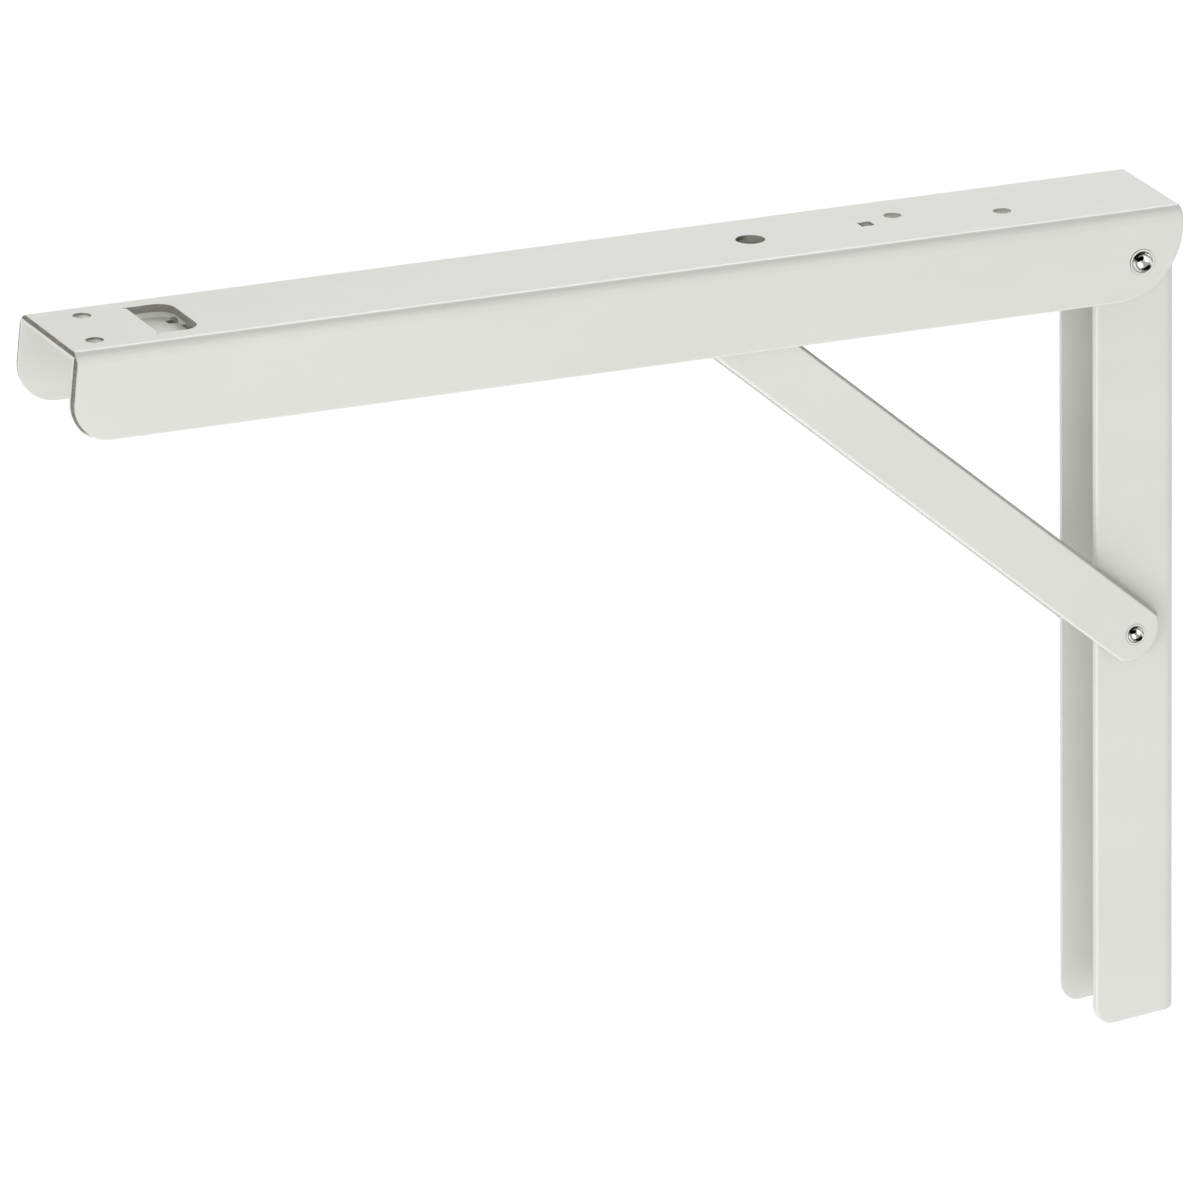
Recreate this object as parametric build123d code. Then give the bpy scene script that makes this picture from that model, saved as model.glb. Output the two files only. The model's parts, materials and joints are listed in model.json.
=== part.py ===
from build123d import *
import math
import os

# Folding shelf bracket: an arm that carries the shelf, a channel that is screwed to the wall, and a
# strut of two flat bars between them.  The arm folds down over the strut and the wall channel.
#
# Frame: X runs out from the wall, Y across the bracket, Z up.  The wall is the plane x = 0.  The origin
# is the middle one of the three wall screw holes, level with the strut's lower pivot.
# Every length is in millimetres.  "near" is the side at +Y and "far" the side at -Y.

# ---- sheet metal -------------------------------------------------------------------------------------
sheet = 2.0             # thickness of the arm, the strut bars and the wall channel
bend_outer = 3.3        # outside radius of the bends of the arm and the wall channel
member_gap = 1.9        # between one member and the next one inside it, room for a washer
edge_roll = 0.8         # rounding of the outer rims, where shearing draws the sheet over

# ---- arm ---------------------------------------------------------------------------------------------
arm_reach = 300.0       # from the wall to the end of the arm
arm_width = 38.5
arm_height = 23.3
arm_wall_gap = 1.5      # from the wall to the back edge of the arm
arm_end_slope = 6.0     # degrees that the free end leans out towards its lower corner
arm_end_corner = 10.0   # radius of the lower corner of the free end
arm_heel = 18.5         # radius of the lower corner beside the wall
shelf_z = 112.6         # height of the shelf face above the origin

# ---- holes in the arm's top --------------------------------------------------------------------------
screw_hole = 4.6        # diameter of the four shelf screw holes
end_screw_back = 12.0   # middle of the pair at the free end, back from the end of the arm
end_screw_stagger = 4.4     # the pair is set off along the arm by this much
end_screw_spacing = 20.0    # across the arm
inner_screw_x = 57.8        # middle of the two single screw holes
inner_screw_stagger = 26.5
inner_screw_spacing = 8.0
sight_hole = 7.5        # hole over the latch nose
lug_hole = 3.5          # side of the square hole that takes the lug of the guide rail
lug_x = 80.0

# ---- tongue lanced out of the arm's top --------------------------------------------------------------
tongue_root_back = 25.6     # root of the tongue, back from the end of the arm
tongue_length = 11.6
tongue_width = 22.2
tongue_slit = 0.35      # width of the cut around the tongue
tongue_drop = 3.2       # how far the tongue is pressed down
tongue_joggle = 4.0     # length of its S-shaped bend
tongue_corner = 4.2
tongue_notch = 2.4      # width of the notch that the rail's hook stands in

# ---- wall channel ------------------------------------------------------------------------------------
wall_depth = 22.2
wall_drop = 105.4       # from the origin down to the lower front corner
wall_end_slope = 5.7
wall_end_corner = 4.5
wall_head_gap = 0.8     # from the head of the channel to the underside of the arm's top
wall_screw = 5.5
wall_screw_pitch = 80.0
wall_screw_head = 7.5   # mouth of the countersink
wall_screw_count = 3

# ---- pivots ------------------------------------------------------------------------------------------
pivot_x = 13.0          # both pivots stand this far from the wall
pivot_depth = 13.2      # of the arm's pivot and of the slide's line, under the shelf face
arm_axle = 5.6
arm_axle_flare = 6.6
strut_rivet = 4.4
strut_rivet_flare = 5.4
strut_rivet_head = 8.6
strut_rivet_head_height = 0.6
flare_depth = 0.9
flare_rim = 0.45        # width of the flat ring around a pivot's dish
dish_depth = 0.36       # of a dish, as a share of its flare
pivot_proud = 0.15      # how far the arm's axle stands out of the arm
running = 0.06          # radial clearance of a pin that turns in a hole
flare_running = 0.12    # clearance between a flare and its countersink
side_gap = 0.3          # clearance at the sides of moving pieces
spacer_outer = 13.0
sleeve_outer = 9.0
washer_outer = 10.0     # washers on the rivets between the strut and the wall channel

# ---- strut -------------------------------------------------------------------------------------------
strut_width = 15.3
strut_end_radius = 8.7  # arc across each end of a bar
strut_end_reach = 5.9   # from the pivot to the end of the bar
lock_x = 128.9          # where the slide axle stands along the arm when the bracket is open
stud = 6.0              # stud in the upper eye of each bar

# ---- guide rail under the arm's top ------------------------------------------------------------------
rail_sheet = 1.2
rail_width = 17.0
rail_lug_margin = 4.9   # rail on the wall side of its lug
rail_web_margin = 4.3   # from the end of the rail's top to the tongue
rail_depth = 16.6
rail_bend = 2.0
rail_corner = 4.0       # radius of the lower corners of the rail's legs
rail_end_margin = 7.0   # rail beyond the folded place of the slide axle
nose_slot = 8.4         # width of the slot in which the latch nose runs
bridge_length = 5.0     # of the bridge that the nose hooks behind, along the arm
lug_width = 3.3
lug_length = 2.0
lug_rise = 1.75         # how far the lug stands into the square hole
hook_width = 2.0
hook_rise = 0.8         # of the hook's tip over the tongue
hook_overlap = 1.0      # of the hook's tip past the end of the tongue

# ---- slide -------------------------------------------------------------------------------------------
slide_axle = 6.0
slot_gap = 0.3          # clearance of the slide axle above and below in the rail
block_length = 14.0
block_height = 7.6
block_width = 2.1
distance_ring = 10.0    # rings on the axle between the rail and the strut bars

# ---- latch -------------------------------------------------------------------------------------------
latch_width = 5.0
latch_reach = 17.5      # from the slide axle to the middle of the nose
latch_hub = 6.0         # radius of the latch around the axle
nose_length = 5.2
nose_tip = 2.6          # flat top of the nose along the arm
nose_clearance = 0.15   # from the top of the nose to the arm
latch_tab_reach = 16.0
latch_tab = 2.6         # thickness of the finger tab
latch_tab_length = 7.0
latch_tab_width = 10.0
latch_tab_rise = 0.6    # of the finger tab over the arm's lower edges
spring_wire = 0.5
spring_turns = 4
spring_leg = 6.0        # length of each leg of the spring

# ---- places that follow from the sizes above ---------------------------------------------------------
arm_half = arm_width / 2
arm_inside = arm_half - sheet
strut_outside = arm_inside - member_gap
strut_inside = strut_outside - sheet
wall_half = strut_inside - member_gap
wall_inside = wall_half - sheet
pivot_z = shelf_z - pivot_depth
arm_underside = shelf_z - sheet
strut_pitch = math.hypot(lock_x - pivot_x, pivot_z)
strut_angle = math.degrees(math.atan2(pivot_z, lock_x - pivot_x))
folded_x = pivot_x + pivot_z + strut_pitch
nose_x = lock_x - latch_reach
end_screw_x = arm_reach - end_screw_back
tongue_root_x = arm_reach - tongue_root_back
tongue_end_x = tongue_root_x - tongue_length
hook_y = tongue_corner + tongue_notch / 2 - tongue_width / 2
rail_half = rail_width / 2
rail_start_x = lug_x - rail_lug_margin
rail_web_end_x = tongue_end_x - rail_web_margin
rail_end_x = max(folded_x, tongue_end_x) + rail_end_margin
slide_z = pivot_z
axle_half = strut_inside - side_gap


def upright(face, half_width):
    """Solid of a face drawn in the XZ plane, as wide as it says to both sides of the middle."""
    return extrude(Plane.XZ * face, amount=half_width, both=True)


def cheek(face, inner, outer, side):
    """Flat plate of a face drawn in the XZ plane, between two distances from the middle."""
    plate = extrude(Plane.XZ.offset(-side * inner) * face, amount=-side * (outer - inner))
    return plate


def pin_y(diameter, start, end, x, z):
    """Round pin along Y between two places."""
    length = abs(end - start)
    middle = (start + end) / 2
    return Pos(x, middle, z) * Rot(90, 0, 0) * Cylinder(diameter / 2, length)


def ring_y(outer, inner, start, end, x, z):
    """Ring about an axis along Y."""
    return pin_y(outer, start, end, x, z) - pin_y(inner, start - 1, end + 1, x, z)


def channel_section(half, height, bend):
    """Section of a channel's block or of its hollow: it stands on the X axis, with rounded top corners."""
    whole = Rectangle(2 * half, 2 * height)
    corners = whole.vertices().group_by(Axis.Y)[-1]
    rounded = fillet(corners, bend)
    lower = Pos(0, -height) * Rectangle(4 * half, 2 * height)
    return rounded - lower


def channel(place, length, half, depth, thickness, bend, side_view, web, roll):
    """Channel: a block with rounded bends is cut to its side view, rolled along its rim and hollowed."""
    block = place * extrude(Plane.YZ * channel_section(half, depth, bend), amount=length)
    block &= upright(side_view, half + 1)
    if roll > 0:
        block = roll_rim(block, half, web, roll)
    inner = channel_section(half - thickness, depth - thickness + 1, bend - thickness)
    return block - place * Pos(-1, 0, -1) * extrude(Plane.YZ * inner, amount=length + 2)


def roll_rim(block, half, web, roll):
    """Round a block along the rim of its side view.  web is the direction that the web faces."""
    rim = []
    for face in block.faces():
        normal = face.normal_at()
        if abs(normal.Y) > 0.01 or normal.dot(web) > 0.99:
            continue
        rim += [edge for edge in face.edges() if not spans(edge, half)]
    return fillet(rim, roll)


def spans(edge, half):
    """True for an edge straight across the whole block."""
    return abs((edge @ 1 - edge @ 0).Y) > 2 * half - 0.01


def arm_side():
    """Side view of the arm: sloped free end, round lower corners."""
    back = arm_wall_gap
    bottom = shelf_z - arm_height
    lean = math.tan(math.radians(arm_end_slope))
    straight = arm_height - arm_end_corner
    top_x = arm_reach - lean * straight
    foot_x = top_x + lean * arm_height
    outline = Polygon((back, bottom), (foot_x, bottom), (top_x, shelf_z), (back, shelf_z), align=None)
    foot = outline.vertices().sort_by(Axis.Y)[0:2].sort_by(Axis.X)
    outline = fillet(foot[-1], arm_end_corner)
    heel = outline.vertices().sort_by_distance((back, bottom))[0]
    return fillet(heel, arm_heel)


def tongue_outline(margin):
    """Plan of the tongue, or of its window with a margin, rounded at the wall side."""
    length = tongue_length + margin
    width = tongue_width + 2 * margin
    plan = Pos(tongue_root_x - length / 2, 0) * Rectangle(length, width)
    corners = plan.vertices().sort_by(Axis.X)[0:2]
    return fillet(corners, tongue_corner + margin)


def tongue_ribbon():
    """Side view of the tongue: an S-shaped bend down, then level towards the wall."""
    low = shelf_z - tongue_drop
    root = (tongue_root_x, shelf_z)
    root_under = (tongue_root_x, shelf_z - sheet)
    level = (tongue_root_x - tongue_joggle, low)
    level_under = (tongue_root_x - tongue_joggle, low - sheet)
    end = (tongue_end_x - 1, low)
    end_under = (tongue_end_x - 1, low - sheet)
    outline = [
        Spline(root, level, tangents=((-1, 0), (-1, 0))),
        Line(level, end),
        Line(end, end_under),
        Line(end_under, level_under),
        Spline(level_under, root_under, tangents=((1, 0), (1, 0))),
        Line(root_under, root),
    ]
    return make_face(outline)


def shelf_screw_places():
    """Places of the four shelf screw holes."""
    pairs = []
    for side in (-1, 1):
        x = end_screw_x + side * end_screw_stagger / 2
        pairs.append((x, side * end_screw_spacing / 2))
    for side in (-1, 1):
        x = inner_screw_x - side * inner_screw_stagger / 2
        pairs.append((x, side * inner_screw_spacing / 2))
    return pairs


def arm_channel():
    """Arm: U channel, open below, with its holes and the lanced tongue."""
    place = Pos(0, 0, shelf_z - arm_height)
    web = Vector(0, 0, 1)
    length = arm_reach + 10
    body = channel(place, length, arm_half, arm_height, sheet, bend_outer, arm_side(), web, edge_roll)
    plan = Plane.XY.offset(shelf_z)
    window = extrude(plan * tongue_outline(tongue_slit), amount=sheet + 0.5, both=True)
    body -= window
    tongue = upright(tongue_ribbon(), tongue_width / 2)
    tongue &= extrude(plan * tongue_outline(0), amount=sheet + tongue_drop + 1, both=True)
    notch = Pos(tongue_end_x, hook_y) * Rectangle(2 * tongue_notch, tongue_notch)
    tongue -= extrude(plan * notch, amount=sheet + tongue_drop + 1, both=True)
    body += tongue
    for x, y in shelf_screw_places():
        body -= Pos(x, y, shelf_z) * Cylinder(screw_hole / 2, 4 * sheet)
    body -= Pos(nose_x, 0, shelf_z) * Cylinder(sight_hole / 2, 4 * sheet)
    body -= Pos(lug_x, 0, shelf_z) * Box(lug_hole, lug_hole, 4 * sheet)
    for side in (-1, 1):
        body -= flared_hole(arm_axle, arm_axle_flare, arm_inside, arm_half, side, pivot_z)
    return body


def flared_hole(pin, flare, inner, outer, side, z):
    """Pin hole through one leg with a countersink on its outer face, to be cut out."""
    hole = pin_y(pin + 2 * running, side * (inner - 1), side * (outer + 1), pivot_x, z)
    wide = flare / 2 + flare_running
    slim = pin / 2 + running
    cone = Cone(slim, wide, flare_depth, align=(Align.CENTER, Align.CENTER, Align.MAX))
    turn = Rot(-90, 0, 0) if side > 0 else Rot(90, 0, 0)
    return hole + Pos(pivot_x, side * outer, z) * turn * cone


def dished_end(flare, outer, side, z):
    """Bowl in the end of a pivot, to be cut out: a dish with a small flat at its bottom."""
    rim = flare / 2 - flare_rim
    depth = dish_depth * flare
    profile = make_face(
        [
            Line((0, 0.2), (rim, 0.2)),
            Line((rim, 0.2), (rim, 0)),
            ThreePointArc((rim, 0), (0.72 * rim, -0.62 * depth), (0.22 * rim, -depth)),
            Line((0.22 * rim, -depth), (0, -depth)),
            Line((0, -depth), (0, 0.2)),
        ]
    )
    bowl = revolve(Plane.XZ * profile, Axis.Z)
    turn = Rot(-90, 0, 0) if side > 0 else Rot(90, 0, 0)
    return Pos(pivot_x, side * outer, z) * turn * bowl


def flare_cone(pin, flare, outer, side, z):
    """Flared end of a pivot."""
    cone = Cone(pin / 2, flare / 2, flare_depth, align=(Align.CENTER, Align.CENTER, Align.MAX))
    turn = Rot(-90, 0, 0) if side > 0 else Rot(90, 0, 0)
    return Pos(pivot_x, side * outer, z) * turn * cone


def arm_pivot_axle():
    """Axle of the arm, right through the bracket, flared and dished at both ends."""
    end = arm_half + pivot_proud
    axle = pin_y(arm_axle, -end, end, pivot_x, pivot_z)
    for side in (-1, 1):
        axle += flare_cone(arm_axle, arm_axle_flare, end, side, pivot_z)
    for side in (-1, 1):
        axle -= dished_end(arm_axle_flare, end, side, pivot_z)
    return axle


def arm_pivot_sleeve():
    """Tube that keeps the legs of the wall channel apart on the arm's axle."""
    return ring_y(sleeve_outer, arm_axle, -wall_inside, wall_inside, pivot_x, pivot_z)


def arm_pivot_spacer(side):
    """Spacer on the axle between a leg of the wall channel and a leg of the arm."""
    start = side * wall_half
    end = side * (arm_inside - side_gap)
    return ring_y(spacer_outer, arm_axle, min(start, end), max(start, end), pivot_x, pivot_z)


def strut_washer(side):
    """Washer on the rivet between a leg of the wall channel and a strut bar."""
    start = side * wall_half
    end = side * (strut_inside - side_gap)
    return ring_y(washer_outer, strut_rivet, min(start, end), max(start, end), pivot_x, 0)


def strut_pivot_rivet(side):
    """Rivet that carries the lower eye of a strut bar on the wall channel."""
    head = side * (wall_inside - strut_rivet_head_height)
    rivet = pin_y(strut_rivet, head, side * strut_outside, pivot_x, 0)
    rivet += pin_y(strut_rivet_head, head, side * wall_inside, pivot_x, 0)
    rivet += flare_cone(strut_rivet, strut_rivet_flare, strut_outside, side, 0)
    return rivet - dished_end(strut_rivet_flare, strut_outside, side, 0)


def wall_side():
    """Side view of the wall channel: round head inside the arm, sloped lower end."""
    lean = math.tan(math.radians(wall_end_slope))
    head = arm_underside - wall_head_gap
    foot_front = -wall_drop
    foot_back = foot_front + lean * wall_depth
    outline = Polygon((0, foot_back), (wall_depth, foot_front), (wall_depth, head), (0, head), align=None)
    front = outline.vertices().sort_by(Axis.X)[2:4].sort_by(Axis.Y)
    outline = fillet(front[0], wall_end_corner)
    top_front = outline.vertices().sort_by_distance((wall_depth, head))[0]
    return fillet(top_front, wall_depth - pivot_x)


def wall_channel():
    """Wall channel: U channel with its web on the wall and its legs towards the room."""
    place = Pos(wall_depth, 0, -wall_drop - 5) * Rot(0, -90, 0)
    web = Vector(-1, 0, 0)
    length = shelf_z + wall_drop + 10
    body = channel(place, length, wall_half, wall_depth, sheet, bend_outer, wall_side(), web, edge_roll)
    for index in range(wall_screw_count):
        z = (index - (wall_screw_count - 1) / 2) * wall_screw_pitch
        body -= Pos(0, 0, z) * Rot(0, 90, 0) * Cylinder(wall_screw / 2, 4 * sheet)
        sink = (wall_screw_head - wall_screw) / 2
        cone = Cone(wall_screw / 2, wall_screw_head / 2, sink, align=(Align.CENTER, Align.CENTER, Align.MAX))
        body -= Pos(sheet, 0, z) * Rot(0, 90, 0) * cone
    for side in (-1, 1):
        body -= pin_y(strut_rivet, side * (wall_inside - 1), side * (wall_half + 1), pivot_x, 0)
        body -= pin_y(arm_axle, side * (wall_inside - 1), side * (wall_half + 1), pivot_x, pivot_z)
    return body


def strut_outline():
    """Bar of the strut lying along X from its lower eye: straight edges, an arc across each end."""
    half = strut_width / 2
    length = strut_pitch + 2 * strut_end_reach
    middle = strut_pitch / 2
    bar = Pos(middle, 0) * Rectangle(length, strut_width)
    back = strut_end_radius - strut_end_reach
    lower = Pos(back, 0) * Circle(strut_end_radius)
    upper = Pos(strut_pitch - back, 0) * Circle(strut_end_radius)
    core = Pos(middle, 0) * Rectangle(strut_pitch - 2 * back, strut_width)
    return bar & (core + lower + upper)


def strut_bar(side):
    """Flat bar of the strut with a pivot eye at each end."""
    blank = cheek(strut_outline(), strut_inside, strut_outside, side)
    outer_face = blank.faces().sort_by(Axis.Y)[-1 if side > 0 else 0]
    blank = fillet(outer_face.edges(), edge_roll)
    bar = Pos(pivot_x, 0, 0) * Rot(0, -strut_angle, 0) * blank
    bar -= flared_hole(strut_rivet, strut_rivet_flare, strut_inside, strut_outside, side, 0)
    bar -= pin_y(stud, side * (strut_inside - 1), side * (strut_outside + 1), lock_x, pivot_z)
    return bar


def strut_stud(side):
    """Stud set flush in the upper eye of a strut bar, which takes the end of the slide axle."""
    ends = (side * strut_inside, side * strut_outside)
    return pin_y(stud, min(ends), max(ends), lock_x, pivot_z)


def rail_side():
    """Side view of the guide rail, stepped down under the tongue of the arm."""
    top = arm_underside
    bottom = top - rail_depth
    under_tongue = shelf_z - tongue_drop - sheet
    outline = Polygon(
        (rail_start_x, bottom),
        (rail_end_x, bottom),
        (rail_end_x, under_tongue),
        (rail_web_end_x, under_tongue),
        (rail_web_end_x, top),
        (rail_start_x, top),
        align=None,
    )
    corners = outline.vertices().sort_by(Axis.Y)[0:2]
    return fillet(corners, rail_corner)


def guide_rail():
    """Guide rail: slotted channel in which the upper end of the strut slides, with the lock window."""
    place = Pos(0, 0, arm_underside - rail_depth)
    web = Vector(0, 0, 1)
    length = rail_end_x + 5
    rail = channel(place, length, rail_half, rail_depth, rail_sheet, rail_bend, rail_side(), web, 0)
    slot_height = slide_axle + 2 * slot_gap
    slot_length = folded_x - lock_x
    slot = Pos((lock_x + folded_x) / 2, slide_z) * SlotCenterToCenter(slot_length, slot_height)
    rail -= upright(slot, rail_half + 1)
    window_start = nose_x - nose_length / 2 - 2 * side_gap
    window_end = nose_x + nose_length / 2 + side_gap
    window = (window_end + window_start) / 2
    deep = 4 * rail_sheet
    rail -= Pos(window, 0, arm_underside) * Box(window_end - window_start, nose_slot, deep)
    run_start = window_end + bridge_length
    run_end = rail_web_end_x + 5
    rail -= Pos((run_start + run_end) / 2, 0, arm_underside) * Box(run_end - run_start, nose_slot, deep)
    rail += rail_lug()
    rail += rail_hook()
    return rail


def rail_lug():
    """Lug of the guide rail that stands in the square hole of the arm."""
    low = arm_underside - rail_sheet / 2
    high = arm_underside + lug_rise
    return Pos(lug_x, 0, (low + high) / 2) * Box(lug_length, lug_width, high - low)


def rail_hook():
    """Hook at the end of the rail's top: a strip that runs under the tongue and up through its notch."""
    under = arm_underside - rail_sheet
    low = shelf_z - tongue_drop - sheet - rail_sheet
    high = shelf_z - tongue_drop + hook_rise
    tip = tongue_end_x + hook_overlap
    path = Polygon(
        (rail_web_end_x - rail_sheet, under),
        (rail_web_end_x - rail_sheet, arm_underside),
        (rail_web_end_x, arm_underside),
        (rail_web_end_x + rail_sheet, low + rail_sheet),
        (tip - rail_sheet, low + rail_sheet),
        (tip - rail_sheet, high),
        (tip, high),
        (tip, low),
        (rail_web_end_x + rail_sheet / 2, low),
        (rail_web_end_x - rail_sheet / 2, under),
        align=None,
    )
    return Pos(0, hook_y, 0) * upright(path, hook_width / 2)


def slide_axle_pin():
    """Axle of the slide: it runs in the slots of the rail and reaches the studs of the strut."""
    axle = pin_y(slide_axle, -axle_half, axle_half, lock_x, slide_z)
    ends = axle.edges().filter_by(GeomType.CIRCLE)
    return chamfer(ends, 0.4)


def slide_block(side):
    """Nylon block on the slide axle, between the latch and a leg of the rail."""
    outer = rail_half - rail_sheet - side_gap
    inner = outer - block_width
    plan = Pos(lock_x, slide_z) * RectangleRounded(block_length, block_height, 2.0)
    block = cheek(plan, inner, outer, side)
    return block - pin_y(slide_axle, side * (inner - 1), side * (outer + 1), lock_x, slide_z)


def slide_ring(side):
    """Ring on the slide axle that fills it between the rail and a strut bar."""
    start = side * (rail_half + side_gap)
    end = side * axle_half
    return ring_y(distance_ring, slide_axle, min(start, end), max(start, end), lock_x, slide_z)


def slide_spacer():
    """Ring that fills the axle between the latch and the near block."""
    inner = latch_width / 2 + side_gap
    outer = rail_half - rail_sheet - side_gap - block_width
    return ring_y(slide_axle + 3.0, slide_axle, inner, outer, lock_x, slide_z)


def latch_pawl():
    """Latch: rocker on the slide axle with a hooked nose towards the wall and a finger tab."""
    top = arm_underside - nose_clearance
    left = nose_x - nose_length / 2
    right = nose_x + nose_length / 2
    under = arm_underside - rail_sheet - side_gap
    hub_top = slide_z + latch_hub
    hub_low = slide_z - latch_hub
    low = shelf_z - arm_height + latch_tab_rise
    high = low + latch_tab
    end = lock_x + latch_tab_reach
    hub = Pos(lock_x, slide_z) * Circle(latch_hub)
    beak = Polygon(
        (left, under - nose_tip),
        (left, under),
        (right - nose_tip, top),
        (right, top),
        (right, under - side_gap),
        (lock_x, hub_top),
        (lock_x - latch_hub / 2, hub_low + latch_hub / 4),
        (right, under - 2 * nose_tip),
        align=None,
    )
    lever = Polygon(
        (lock_x, hub_top),
        (lock_x + latch_hub, slide_z),
        (end - latch_tab, high),
        (end, high),
        (end, low),
        (lock_x + latch_hub, low),
        (lock_x - latch_hub / 4, hub_low + side_gap),
        align=None,
    )
    pawl = upright(hub + beak + lever, latch_width / 2)
    pad = Pos(end - latch_tab_length / 2, 0, (low + high) / 2) * Box(latch_tab_length, latch_tab_width, latch_tab)
    pawl += fillet(pad.edges().filter_by(Axis.Z), 0.3 * latch_tab_length)
    bore = pin_y(slide_axle + 2 * running, -latch_width, latch_width, lock_x, slide_z)
    return pawl - bore


def latch_spring():
    """Torsion spring: a close-wound coil around the slide axle beside the latch, with a leg to each side."""
    inner = slide_axle / 2 + side_gap
    radius = spring_wire / 2
    length = (spring_turns - 1) * spring_wire
    section = Pos(inner + 0.6 * radius, length / 2) * Rectangle(1.2 * radius, length)
    for index in range(spring_turns):
        section += Pos(inner + radius, index * spring_wire) * Circle(radius)
    coil = revolve(Plane.XZ * section, Axis.Z)
    for place, side in ((0, 1), (length, -1)):
        leg = Rot(0, 90, 0) * Cylinder(0.8 * radius, spring_leg)
        coil += Pos(side * (spring_leg / 2 - radius), inner + radius, place) * leg
    start = latch_width / 2 + side_gap + radius
    return Pos(lock_x, -start, slide_z) * Rot(90, 0, 0) * coil


def build():
    """All pieces by node name."""
    parts = {
        "wall_channel": wall_channel(),
        "arm_pivot_axle": arm_pivot_axle(),
        "arm_pivot_sleeve": arm_pivot_sleeve(),
        "arm_channel": arm_channel(),
        "guide_rail": guide_rail(),
        "slide_axle": slide_axle_pin(),
        "slide_spacer": slide_spacer(),
        "latch_pawl": latch_pawl(),
        "latch_spring": latch_spring(),
    }
    for name, side in (("near", 1), ("far", -1)):
        parts["arm_pivot_spacer_" + name] = arm_pivot_spacer(side)
        parts["strut_pivot_rivet_" + name] = strut_pivot_rivet(side)
        parts["strut_washer_" + name] = strut_washer(side)
        parts["strut_bar_" + name] = strut_bar(side)
        parts["strut_stud_" + name] = strut_stud(side)
        parts["slide_block_" + name] = slide_block(side)
        parts["slide_ring_" + name] = slide_ring(side)
    return parts


os.makedirs("parts", exist_ok=True)
for node, solid in build().items():
    export_step(solid, "parts/" + node + ".step")
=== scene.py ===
"""Looks of a folding shelf bracket: painted sheet-metal channels, a strut of two bars and bright pivots."""

import json
import logging
import math
from dataclasses import dataclass, field
from enum import Enum
from functools import reduce
from operator import add, mul
from typing import Any, Iterable

import bpy
import numpy as np
from mathutils import Matrix, Vector


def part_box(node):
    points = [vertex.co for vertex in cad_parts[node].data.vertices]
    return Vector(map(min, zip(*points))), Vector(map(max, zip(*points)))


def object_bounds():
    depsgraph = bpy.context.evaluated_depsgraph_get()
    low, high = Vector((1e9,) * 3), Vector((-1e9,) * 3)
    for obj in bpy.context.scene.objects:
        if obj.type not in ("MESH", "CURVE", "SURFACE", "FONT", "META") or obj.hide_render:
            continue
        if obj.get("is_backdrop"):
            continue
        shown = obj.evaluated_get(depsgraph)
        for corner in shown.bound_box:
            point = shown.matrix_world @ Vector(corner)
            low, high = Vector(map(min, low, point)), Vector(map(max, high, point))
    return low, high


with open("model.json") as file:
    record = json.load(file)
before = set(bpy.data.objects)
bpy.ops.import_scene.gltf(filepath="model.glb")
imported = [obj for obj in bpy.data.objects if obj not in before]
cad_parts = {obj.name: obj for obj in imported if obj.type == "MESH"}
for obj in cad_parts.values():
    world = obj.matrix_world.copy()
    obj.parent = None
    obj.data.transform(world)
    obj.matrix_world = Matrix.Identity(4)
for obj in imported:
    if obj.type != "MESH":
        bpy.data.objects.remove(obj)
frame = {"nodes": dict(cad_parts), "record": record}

LOG = logging.getLogger("shelf_bracket")
MM = 0.001
TO_MM = 1000.0
FADE_MM = 0.1
WHITE = (1.0, 1.0, 1.0)

Triple = tuple[float, float, float]


class Side(Enum):
    """The two sides of the bracket across its width."""

    NEAR = 1
    FAR = -1

    @property
    def suffix(self) -> str:
        """Ending of this side's node names."""
        return self.name.lower()


class Value:
    """A number in a material's node tree, which takes part in Python arithmetic."""

    def __init__(self, bench: "Bench", socket: bpy.types.NodeSocket) -> None:
        """Keeps the socket that carries the number.

        Args:
            bench: The material's workbench that the number belongs to.
            socket: The output socket that carries it.
        """
        self.bench = bench
        self.socket = socket

    def _maths(self, operation: str, *others: "Value | float") -> "Value":
        """One Math node on this value and others.

        Args:
            operation: The Math node's operation.
            others: The other operands, in order.

        Returns:
            The result.
        """
        inputs = dict(enumerate((self, *others)))
        return self.bench.value(self.bench.node("ShaderNodeMath", {"operation": operation}, inputs))

    def __add__(self, other: "Value | float") -> "Value":
        """Sum."""
        return self._maths("ADD", other)

    __radd__ = __add__

    def __mul__(self, other: "Value | float") -> "Value":
        """Product."""
        return self._maths("MULTIPLY", other)

    __rmul__ = __mul__

    def __sub__(self, other: "Value | float") -> "Value":
        """Difference."""
        return self._maths("SUBTRACT", other)

    def __rsub__(self, other: float) -> "Value":
        """Difference the other way round: a number minus this value."""
        return self._maths("MULTIPLY", -1.0) + other

    def __truediv__(self, other: "Value | float") -> "Value":
        """Quotient."""
        return self._maths("DIVIDE", other)

    def __rtruediv__(self, other: float) -> "Value":
        """Quotient the other way round: a number over this value."""
        return self._maths("POWER", -1.0) * other

    def __abs__(self) -> "Value":
        """Size without the sign."""
        return self._maths("ABSOLUTE")

    def power(self, exponent: float) -> "Value":
        """This value raised to a power."""
        return self._maths("POWER", exponent)

    def lesser(self, other: "Value | float") -> "Value":
        """The smaller of two values."""
        return self._maths("MINIMUM", other)

    def greater(self, other: "Value | float") -> "Value":
        """The larger of two values."""
        return self._maths("MAXIMUM", other)

    def step(self, low: float, high: float) -> "Value":
        """Smooth step: 0 below the low mark, 1 above the high mark, and smooth between them.

        Args:
            low: Mark where the result leaves 0. It may lie above the high mark, for a falling step.
            high: Mark where the result reaches 1.

        Returns:
            The step.
        """
        if low > high:
            return 1.0 - self.step(high, low)
        settings = {"interpolation_type": "SMOOTHSTEP"}
        inputs = {"Value": self, "From Min": low, "From Max": high}
        return self.bench.value(self.bench.node("ShaderNodeMapRange", settings, inputs))


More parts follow.
